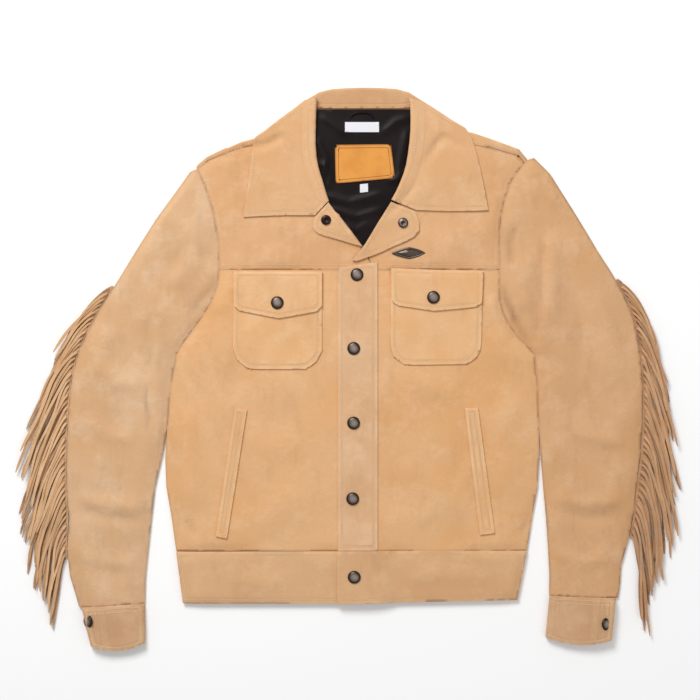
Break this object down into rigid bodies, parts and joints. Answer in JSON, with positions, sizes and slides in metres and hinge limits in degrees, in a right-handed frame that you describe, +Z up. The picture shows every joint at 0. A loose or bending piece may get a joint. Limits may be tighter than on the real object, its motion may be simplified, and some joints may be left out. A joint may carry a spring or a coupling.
{
  "type": "leather jacket",
  "caption": "Short suede leather jacket laid flat: pointed collar, snapped front placket, flapped chest pockets, welt pockets, waistband, cuffs and long fringe along the sleeves.",
  "frame": {"origin": "middle of the whole outline seen from above, at the height of the surface that the jacket lies on", "axes": "+X to the wearer's left, +Y from the hem to the collar, +Z up from the surface, out of the fronts"},
  "size_m": [0.8473, 0.7209, 0.0135],
  "materials": {
    "tan_suede": "matte suede with a mottled nap",
    "fringe_suede": "matte suede, cut strands",
    "dark_satin": "near-black satin",
    "label_leather": "smooth, bare",
    "white_tape": "woven tape, bare",
    "aged_brass": "dark aged brass"
  },
  "bodies": {
    "root": {"back": "tan_suede", "lining_back": "dark_satin", "neck_label": "label_leather", "size_tag": "white_tape", "neck_tape": "white_tape", "hanger_loop": "dark_satin", "waistband_back": "tan_suede", "waistband_front_right": "tan_suede", "waistband_front_left": "tan_suede", "front_right": "tan_suede", "front_left": "tan_suede", "yoke_right": "tan_suede", "yoke_left": "tan_suede", "sleeve_under_right": "tan_suede", "sleeve_under_left": "tan_suede", "sleeve_top_right": "tan_suede", "sleeve_top_left": "tan_suede", "cuff_right": "tan_suede", "cuff_left": "tan_suede", "fringe_right": "fringe_suede", "fringe_left": "fringe_suede", "placket": "tan_suede", "pocket_right": "tan_suede", "pocket_left": "tan_suede", "flap_right": "tan_suede", "flap_left": "tan_suede", "welt_right": "tan_suede", "welt_left": "tan_suede", "lapel_right": "tan_suede", "lapel_left": "tan_suede", "collar_right": "tan_suede", "collar_left": "tan_suede", "collar_back": "tan_suede", "badge": "aged_brass", "snap_placket_1": "aged_brass", "snap_placket_2": "aged_brass", "snap_placket_3": "aged_brass", "snap_placket_4": "aged_brass", "snap_waistband": "aged_brass", "snap_flap_right": "aged_brass", "snap_flap_left": "aged_brass", "snap_lapel_right": "aged_brass", "snap_lapel_left": "aged_brass", "snap_cuff_right": "aged_brass", "snap_cuff_left": "aged_brass"}
  },
  "joints": []
}
